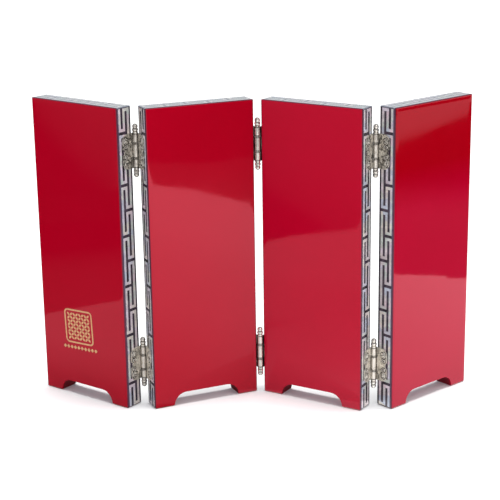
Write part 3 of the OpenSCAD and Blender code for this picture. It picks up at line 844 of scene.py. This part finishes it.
def wireSection(kind, centre, radius, angle):
    # A low rounded section across the start of an arc
    shape, corners = scrollShape[kind], scrollShape["sectionCorners"]
    bpy.ops.mesh.primitive_circle_add(vertices=corners, radius=1, fill_type="NGON", location=(0, 0, 0))
    section = bpy.context.object
    section.scale = (shape["halfDepth"], shape["halfWidth"], 1)
    bpy.ops.object.transform_apply(location=True, rotation=True, scale=True)
    section.rotation_euler = (angle * degree, 0, 0)
    section.location = (hinge["floorX"] + shape["lift"], *onArc(centre, radius, angle))
    bpy.ops.object.transform_apply(location=True, rotation=True, scale=True)
    return section


def sweep(section, name, turns, material):
    # One closed section swept along a chain of arcs in the leaf's plane, each turn as (centre, angle)
    makeActive(section)
    bpy.ops.object.mode_set(mode="EDIT")
    bpy.ops.mesh.select_all(action="SELECT")
    for (y, z), angle in turns:
        steps = max(3, int(abs(angle) / scrollShape["stepAngle"]))
        # With no window, spin turns against its axis
        bpy.ops.mesh.spin(steps=steps, angle=-angle * degree, center=(hinge["faceX"], y, z), axis=(1, 0, 0))
    section.name = name
    outwards(section)
    section.data.materials.append(materials[material])
    return section


def scroll(side):
    shape, way = scrollShape, -side
    ring, curl, eye = shape["ringRadius"], shape["curlRadius"], shape["eyeRadius"]
    start, stop, curlTurn = (shape[name] * way for name in ("ringFrom", "ringTo", "curlTurn"))
    screw = (hinge["screwY"], side * hinge["screwPitch"] / 2)
    curlCentre = onArc(screw, ring + curl, stop)
    eyeCentre = onArc(curlCentre, curl - eye, stop + 180 + curlTurn)
    turns = [(screw, stop - start), (curlCentre, curlTurn), (eyeCentre, shape["eyeTurn"] * way)]
    return [sweep(wireSection(kind, screw, ring, start), kind, turns, shape[kind]["finish"])
            for kind in ("bed", "wire")]


# Short roped ornament beside the barrel at each end of a leaf, on a dark sheet of painted shadow

ribShape = {
    "y": -3.15 * mm,
    "bedZ": 9.3 * mm,
    "bedSize": (0.06 * mm, 2.0 * mm, 4.0 * mm),
    "bedSoftness": 0.02 * mm,
    "count": 4,
    "size": (0.36 * mm, 1.9 * mm, 0.42 * mm),
    "softness": 0.12 * mm,
    "slant": 32,
    "lift": 0.05 * mm,
    "firstZ": 7.9 * mm,
    "step": 0.95 * mm,
}


def makeRib():
    rib = makeBlock("rib", ribShape["size"], (0, 0, 0), "nickel")
    softenEdges(rib, ribShape["softness"])
    return rib


def ribs(side):
    shape, floorX = ribShape, hinge["floorX"]
    # Painted shadow: a dark sheet under the ribs
    bed = makeBlock("ribBed", shape["bedSize"], (floorX, shape["y"], side * shape["bedZ"]), "patina")
    softenEdges(bed, shape["bedSoftness"], 1)
    pieces = [bed]
    for i in range(shape["count"]):
        place = (floorX + shape["lift"], shape["y"], side * (shape["firstZ"] + shape["step"] * i))
        slanted = Matrix.Rotation(side * shape["slant"] * degree, 4, "X")
        pieces.append(placedCopy(models["rib"], "rib", Matrix.Translation(place) @ slanted))
    return pieces


# Screws with slotted round heads, and the dark rim of their seats, a painted shade round each head's foot

screwShape = {
    "shank": [(0.8 * mm, -7.0 * mm), (0.8 * mm, -0.05 * mm)],
    # As (share of the head's radius, height)
    "head": [(1.0, 0.0), (1.0, 0.14 * mm), (0.93, 0.36 * mm), (0.74, 0.56 * mm), (0.42, 0.7 * mm)],
    "sides": 28,
    "slot": (4 * mm, 0.5 * mm, 0.76 * mm),
    "bedded": 0.02 * mm,
    "turns": [20, 75, -35, 50, -65, 10, 85, -15],
    # As (how far outside the head's radius, height)
    "seat": [(0.55 * mm, 0.0), (0.55 * mm, 0.08 * mm), (0.45 * mm, 0.13 * mm)],
}


def makeScrewShade():
    # Painted shade: a thin dark ring round the foot of each screw head
    radius = hinge["screwRadius"]
    return turned("seat", [(radius + outside, height) for outside, height in screwShape["seat"]], "patina")


def makeScrew():
    shape, radius = screwShape, hinge["screwRadius"]
    profile = shape["shank"] + [(radius * share, height) for share, height in shape["head"]]
    head = turned("screwHead", profile, "nickel", shape["sides"])
    head.data.materials.append(materials["patina"])
    cutter = makeBlock("cutter", shape["slot"], (0, 0, shape["head"][-1][1]), "patina")
    makeActive(head)
    cut = head.modifiers.new("slot", "BOOLEAN")
    cut.operation, cut.solver, cut.object = "DIFFERENCE", "EXACT", cutter
    cut.material_mode = "TRANSFER"
    bpy.ops.object.modifier_apply(modifier=cut.name)
    bpy.data.objects.remove(cutter)
    smoothSurface(head)
    return head


def ontoLeaf(x, side):
    # Takes what was turned along z to a screw's place, pointing out of the leaf
    place = (x, hinge["screwY"], side * hinge["screwPitch"] / 2)
    return Matrix.Translation(place) @ Matrix.Rotation(90 * degree, 4, "Y")


def makeLeaf(outer):
    half, middle = hinge["leafHeight"] / 2, hinge["middleKnuckle"] / 2
    low = middle + hinge["knuckleGap"]
    pieces = [leafPlate()]
    if outer:
        pieces += knuckle(low, half) + knuckle(-half, -low) + [lip(-low, low)]
    else:
        pieces += knuckle(-middle, middle) + [lip(middle, half), lip(-half, -middle)]
    for side in (1, -1):
        pieces += scroll(side)
        pieces.append(placedCopy(models["seat"], "seat", ontoLeaf(hinge["floorX"], side)))
        if outer:
            pieces += ribs(side)
    leaf = joinPieces(pieces, "outerLeaf" if outer else "innerLeaf")
    smoothSurface(leaf)
    return leaf


# Turned tip: collar, bead and ball with shallow grooves between, from the barrel's end
# upwards, as (radius, height) in mm

tipShape = {
    "collar": [(1.45, 0.0), (1.85, 0.12), (1.85, 0.9), (1.66, 1.04), (1.52, 1.1), (1.52, 1.26)],
    "beadHeight": 2.3,
    "beadRadius": 2.0,
    "beadAngles": (-27, -14, 0, 14, 24),
    "neck": [(1.36, 3.3), (1.36, 3.42)],
    "ballHeight": 4.5,
    "ballRadius": 1.85,
    "ballAngles": (-33, -18, 0, 18, 34, 50, 64, 76, 86),
    "darkWithin": 1.56 * mm,
    "darkFrom": 1.0 * mm,
    "darkTo": 3.6 * mm,
}


def makeTip():
    shape = tipShape
    bead = [onArc((0, shape["beadHeight"]), shape["beadRadius"], angle) for angle in shape["beadAngles"]]
    ball = [onArc((0, shape["ballHeight"]), shape["ballRadius"], angle) for angle in shape["ballAngles"]]
    profile = shape["collar"] + bead + shape["neck"] + ball
    tip = turned("tip", [(radius * mm, height * mm) for radius, height in profile], "tip")
    darkenGrooves(tip, shape["darkWithin"], shape["darkFrom"], shape["darkTo"])
    smoothSurface(tip)
    return tip


def panelToWorld(panel):
    x, y, turn = panelPlaces[panel]
    return Matrix.Translation((x * mm, y * mm, 0)) @ Matrix.Rotation(turn * degree, 4, "Z")


def hingeToWorld(panel, fold, level):
    # From a leaf's own frame into the part's, mirrored as the leaf is on its panel
    onRight, ridge = fold == panel, fold != 2
    x = panelWidth + hinge["axisGap"] if onRight else -hinge["axisGap"]
    y = panelThick + hinge["axisProud"] if ridge else -hinge["axisProud"]
    z = panelHeight - hinge["inset"] if level == "top" else hinge["inset"]
    flips = Matrix.Diagonal((1 if onRight else -1, 1 if ridge else -1, 1, 1))
    return panelToWorld(panel) @ Matrix.Translation((x, y, z)) @ flips


for name, maker in (("rib", makeRib), ("seat", makeScrewShade), ("screw", makeScrew), ("tip", makeTip)):
    models[name] = maker()
models["outer"] = makeLeaf(True)
models["inner"] = makeLeaf(False)

leafPanels = {1: {"outer": 1, "inner": 2}, 2: {"outer": 2, "inner": 3}, 3: {"outer": 4, "inner": 3}}
panelScrews = {panel: [] for panel in panelPlaces}
for fold, leaves in leafPanels.items():
    for level in ("top", "bottom"):
        for kind, panel in leaves.items():
            place = hingeToWorld(panel, fold, level)
            nodeName = "hinge_%d_%s_%s_leaf" % (fold, level, kind)
            leaf = placedCopy(models[kind], nodeName + "_dressed", place)
            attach(leaf, "panel_%d" % panel)
            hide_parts(nodeName)
            for side in (1, -1):
                screws, turns = panelScrews[panel], screwShape["turns"]
                turn = Matrix.Rotation(turns[(len(screws) + 3 * panel) % len(turns)] * degree, 4, "Z")
                seat = ontoLeaf(hinge["faceX"] - screwShape["bedded"], side)
                screws.append(placedCopy(models["screw"], "screw", place @ seat @ turn))
for panel, screws in panelScrews.items():
    piece = joinPieces(screws, "panel_%d_screws_dressed" % panel)
    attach(piece, "panel_%d" % panel)
    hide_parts("panel_%d_screws" % panel)
barrelEnd = Matrix.Translation((0, 0, hinge["leafHeight"] / 2))
upsideDown = Matrix.Diagonal((1, 1, -1, 1))
for fold, leaves in leafPanels.items():
    panel = leaves["outer"]
    tips = []
    for level in ("top", "bottom"):
        for flip in (Matrix.Identity(4), upsideDown):
            place = hingeToWorld(panel, fold, level) @ flip @ barrelEnd
            tips.append(placedCopy(models["tip"], "tip", place))
    piece = joinPieces(tips, "hinge_%d_tips_dressed" % fold)
    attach(piece, "panel_%d" % panel)
    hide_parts("hinge_%d_tips" % fold)
for model in models.values():
    bpy.data.objects.remove(model)
print("hinges dressed")


# Pale floor

floorLook = {
    "size": 400.0,
    "colour": (0.90, 0.90, 0.90),
    "roughness": 0.9,
    "toneScale": 2.0,
    "toneRange": (0.3, 0.7),
    "tone": (0.985, 1.0),
    "glow": (0.94, 0.88, 1.0),
    "glowStrength": 0.085,
}


def makeFloor():
    look = floorLook
    bpy.ops.mesh.primitive_plane_add(size=look["size"], location=(0, 0, 0))
    floor = bpy.context.object
    floor.name = "floor"
    material, tree, shader = newMaterial("paleFloor", look["colour"], look["roughness"])
    shader.inputs["Specular IOR Level"].default_value = 0.0
    # A faint glow keeps the shade under the arches soft
    shader.inputs["Emission Color"].default_value = (*look["glow"], 1.0)
    shader.inputs["Emission Strength"].default_value = look["glowStrength"]
    clouds = noise(tree, objectCoordinates(tree), look["toneScale"], detail=2.0)
    tone = grey(tree, levels(tree, clouds, *look["toneRange"], *look["tone"]))
    connect(tree, mixColours(tree, 1.0, look["colour"], tone, "MULTIPLY"), shader, "Base Color")
    floor.data.materials.append(material)


# What the red faces mirror, as outlines on the floor: a table whose light grows to the right,
# and dim things past its edges. Light changes along an axis in plan, as (distance, strength).

cardReach = 6.0
mirrorCards = {
    "surround": {
        "outline": [(-cardReach, -cardReach), (cardReach, -cardReach), (cardReach, 2.0), (-cardReach, 2.0)],
        "lift": 0.20 * mm, "axis": (1, 0),
        "stops": [(-1.0, 0.02), (1.0, 0.02)],
    },
    "tableLeft": {
        "outline": [(-0.311, 0.6), (-0.311, 0.0), (-0.322, -0.05), (-0.329, -0.10), (-0.341, -0.22),
                    (-0.335, -0.26), (-0.327, -0.30), (-0.33, -2.0), (0.02, -2.0), (0.02, 0.6)],
        "lift": 0.40 * mm, "axis": (-0.576, -0.817),
        "stops": [(0.03, 0.25), (0.06, 0.28), (0.09, 0.33), (0.115, 0.52), (0.15, 0.70), (0.22, 0.72),
                  (0.27, 0.84), (0.5, 0.95)],
    },
    "tableFront": {
        "outline": [(-0.06, -0.03), (-0.11, -0.06), (-0.11, -2.0), (0.47, -2.0), (0.425, -0.60),
                    (0.418, -0.49), (0.421, -0.465), (0.427, -0.44), (0.423, -0.41), (0.415, -0.37),
                    (0.42, -0.30), (0.41, 0.02), (0.0, 0.02)],
        "lift": 0.45 * mm, "axis": (1, 0),
        "stops": [(-0.11, 0.70), (-0.02, 0.83), (0.05, 1.15), (0.1, 1.35), (0.2, 1.6), (0.3, 1.95),
                  (0.47, 2.1)],
    },
    "tableBack": {
        "outline": [(0.095, -0.05), (0.405, -0.05), (0.402, 0.03), (0.402, 0.6), (0.095, 0.6)],
        "lift": 0.50 * mm, "axis": (1, 0),
        "stops": [(0.1, 1.18), (0.23, 1.48), (0.3, 1.68), (0.4, 1.88)],
    },
    "pastFront": {
        "outline": [(0.41, -0.28), (0.60, -0.40), (0.63, -0.49), (0.585, -0.518), (0.56, -0.512),
                    (0.53, -0.53), (0.515, -0.556), (0.50, -0.562), (0.485, -0.59), (0.46, -0.62),
                    (0.41, -0.66)],
        "lift": 0.30 * mm, "axis": (1, 0),
        "stops": [(0.42, 0.28), (0.55, 0.16)],
    },
    "pastRight": {
        "outline": [(0.39, -0.06), (0.95, -0.06), (0.95, 0.3), (0.39, 0.3)],
        "lift": 0.30 * mm, "axis": (1, 0),
        "stops": [(0.40, 0.16), (0.62, 0.19), (0.67, 0.15), (0.76, 0.03), (0.8, 0.0)],
    },
    "farRight": {
        "outline": [(0.95, -0.2), (2.5, -0.2), (2.5, 0.4), (0.95, 0.4)],
        "lift": 0.30 * mm, "axis": (0.455, -0.890),
        "stops": [(0.464, 0.0), (0.475, 0.50), (0.50, 0.68), (0.62, 0.74)],
    },
    "pastLeft": {
        "outline": [(-0.6, -0.2), (-0.3, -0.11), (-0.3, 0.3), (-0.6, 0.3)],
        "lift": 0.30 * mm, "axis": (1, 0),
        "stops": [(-0.50, 0.0), (-0.47, 0.06), (-0.43, 0.12), (-0.33, 0.15)],
    },
    "farLeft": {
        "outline": [(-2.5, -0.62), (-0.72, -0.27), (-0.72, 0.2), (-2.5, 0.2)],
        "lift": 0.30 * mm, "axis": (0.0, -1.0),
        "stops": [(0.135, 0.01), (0.17, 0.11), (0.24, 0.2)],
    },
    "frontLeft": {
        "outline": [(-2.5, -1.02), (-2.5, -3.0), (-0.3, -3.0), (-0.3, -0.165)],
        "lift": 0.35 * mm, "axis": (0.12, -0.993),
        "stops": [(0.16, 0.02), (0.215, 0.04), (0.245, 0.16), (0.30, 0.22), (0.55, 0.33)],
    },
    # Painted shade in the table's reflection, in the corner where the middle panels meet
    "valley": {
        "outline": [(-0.062, -0.047), (0.068, -0.047), (0.004, 0.004)],
        "lift": 0.55 * mm, "axis": (0, 1),
        "stops": [(-0.047, 0.85), (-0.032, 0.72), (-0.02, 0.64), (0.004, 0.52)],
    },
}

# The shade on the table under each panel and close behind it
underShade = {"from": 0.4 * mm, "to": 34.0 * mm, "lift": 0.6 * mm, "strength": 0.05}
for panel, (x, y, turn) in panelPlaces.items():
    along, through = turn * degree, (turn + 90) * degree
    near, far = underShade["from"], underShade["to"]
    corners = ((0, near), (panelWidth, near), (panelWidth, far), (0, far))
    mirrorCards["under" + str(panel)] = {
        "outline": [(x * mm + u * math.cos(along) + v * math.cos(through),
                     y * mm + u * math.sin(along) + v * math.sin(through)) for u, v in corners],
        "lift": underShade["lift"], "axis": (1, 0),
        "stops": [(-1.0, underShade["strength"]), (1.0, underShade["strength"])],
    }

# Pale wall far behind, which the panels' tops mirror
backWall = {"half": 3.5, "place": 2.6, "low": 0.02, "high": 2.2, "strength": 0.6}


def onlyMirrored(card):
    card.visible_camera = False
    card.visible_diffuse = False
    card.visible_transmission = False
    card.visible_volume_scatter = False
    card.visible_shadow = False


def makeMirrorCard(name):
    look = mirrorCards[name]
    card = flatShape(name, [(x, y, look["lift"]) for x, y in look["outline"]])
    material = bpy.data.materials.new(name)
    material.use_nodes = True
    tree = material.node_tree
    tree.nodes.clear()
    reach = addNode(tree, "ShaderNodeVectorMath", {0: objectCoordinates(tree), 1: (*look["axis"], 0.0)},
                    operation="DOT_PRODUCT").outputs["Value"]
    low, high = look["stops"][0][0], look["stops"][-1][0]
    brightest = max(strength for distance, strength in look["stops"])
    stops = [((distance - low) / (high - low), (strength / brightest,) * 3)
             for distance, strength in look["stops"]]
    glow = ramp(tree, levels(tree, reach, low, high), stops)
    light = addNode(tree, "ShaderNodeEmission", {"Color": glow, "Strength": brightest})
    output = addNode(tree, "ShaderNodeOutputMaterial")
    tree.links.new(light.outputs["Emission"], output.inputs["Surface"])
    card.data.materials.append(material)
    onlyMirrored(card)


def makeBackWall():
    look = backWall
    half, low, high = look["half"], look["low"], look["high"]
    corners = ((-half, low), (half, low), (half, high), (-half, high))
    wall = flatShape("backWall", [(x, look["place"], z) for x, z in corners])
    material, tree, shader = newMaterial("backWall", (0.0, 0.0, 0.0), 1.0)
    shader.inputs["Emission Color"].default_value = (1.0, 1.0, 1.0, 1.0)
    shader.inputs["Emission Strength"].default_value = look["strength"]
    wall.data.materials.append(material)
    onlyMirrored(wall)


# A small lamp to the right and a wide soft light from the ceiling, which isn't mirrored

keyLamp = {"place": (0.5, -0.7, 1.0), "aim": (0.08, 0.0, 0.1), "width": 0.6, "strength": 2.6,
           "colour": (1.0, 0.99, 0.97)}
ceilingLamp = {"place": (0.15, 0.04, 2.0), "aim": (0.0, 0.0, 0.0), "spread": 26.0, "strength": 3.6,
               "colour": (1.0, 1.0, 0.985)}


def hangLamp(name, kind, look):
    light = bpy.data.lights.new(name, kind)
    light.energy = look["strength"]
    light.color = look["colour"]
    lamp = bpy.data.objects.new(name, light)
    bpy.context.scene.collection.objects.link(lamp)
    lamp.location = look["place"]
    lamp.rotation_euler = (Vector(look["aim"]) - Vector(look["place"])).to_track_quat("-Z", "Y").to_euler()
    return lamp


def makeLamps():
    key = hangLamp("keyLamp", "AREA", keyLamp)
    key.data.shape = "SQUARE"
    key.data.size = keyLamp["width"]
    ceiling = hangLamp("ceilingLamp", "SUN", ceilingLamp)
    ceiling.data.angle = ceilingLamp["spread"] * degree
    ceiling.visible_glossy = False


worldLook = {
    "colour": (0.93, 0.95, 1.0),
    "strength": 0.44,
    "seenStrength": 1.1,
}


def makeWorld():
    look = worldLook
    world = bpy.data.worlds.new("studio")
    bpy.context.scene.world = world
    world.use_nodes = True
    tree = world.node_tree
    background = tree.nodes["Background"]
    background.inputs["Color"].default_value = (*look["colour"], 1.0)
    # The camera sees a white room behind the floor, brighter than the light that it gives
    seen = addNode(tree, "ShaderNodeLightPath").outputs["Is Camera Ray"]
    strength = levels(tree, seen, 0.0, 1.0, look["strength"], look["seenStrength"])
    connect(tree, strength, background, "Strength")


deselectAll()
makeFloor()
for cardName in mirrorCards:
    makeMirrorCard(cardName)
makeBackWall()
makeLamps()
makeWorld()
print("stage set")


# Camera: the photograph's place and angle, solved from the panels' corners

cameraLook = {
    "place": (0.031886, -0.944288, 0.376882),
    "pitch": 16.008,
    "roll": -0.28,
    "focalPixels": 1426.92,
    "frameWidth": 500,
    "centrePixel": 300,
    "sensor": 36.0,
    "clip": (0.05, 50.0),
}


def makeCamera():
    look = cameraLook
    data = bpy.data.cameras.new("camera")
    data.sensor_width = look["sensor"]
    data.lens = look["focalPixels"] * look["sensor"] / look["frameWidth"]
    data.shift_x = (look["frameWidth"] / 2 - look["centrePixel"]) / look["frameWidth"]
    data.clip_start, data.clip_end = look["clip"]
    camera = bpy.data.objects.new("camera", data)
    bpy.context.scene.collection.objects.link(camera)
    tilt = Matrix.Rotation((90 - look["pitch"]) * degree, 4, "X")
    roll = Matrix.Rotation(look["roll"] * degree, 4, "Z")
    camera.matrix_world = Matrix.Translation(look["place"]) @ tilt @ roll
    bpy.context.scene.camera = camera


makeCamera()
viewSettings = bpy.context.scene.view_settings
viewSettings.view_transform = "Standard"
viewSettings.look = "None"
viewSettings.exposure = 0.0
print("camera placed")
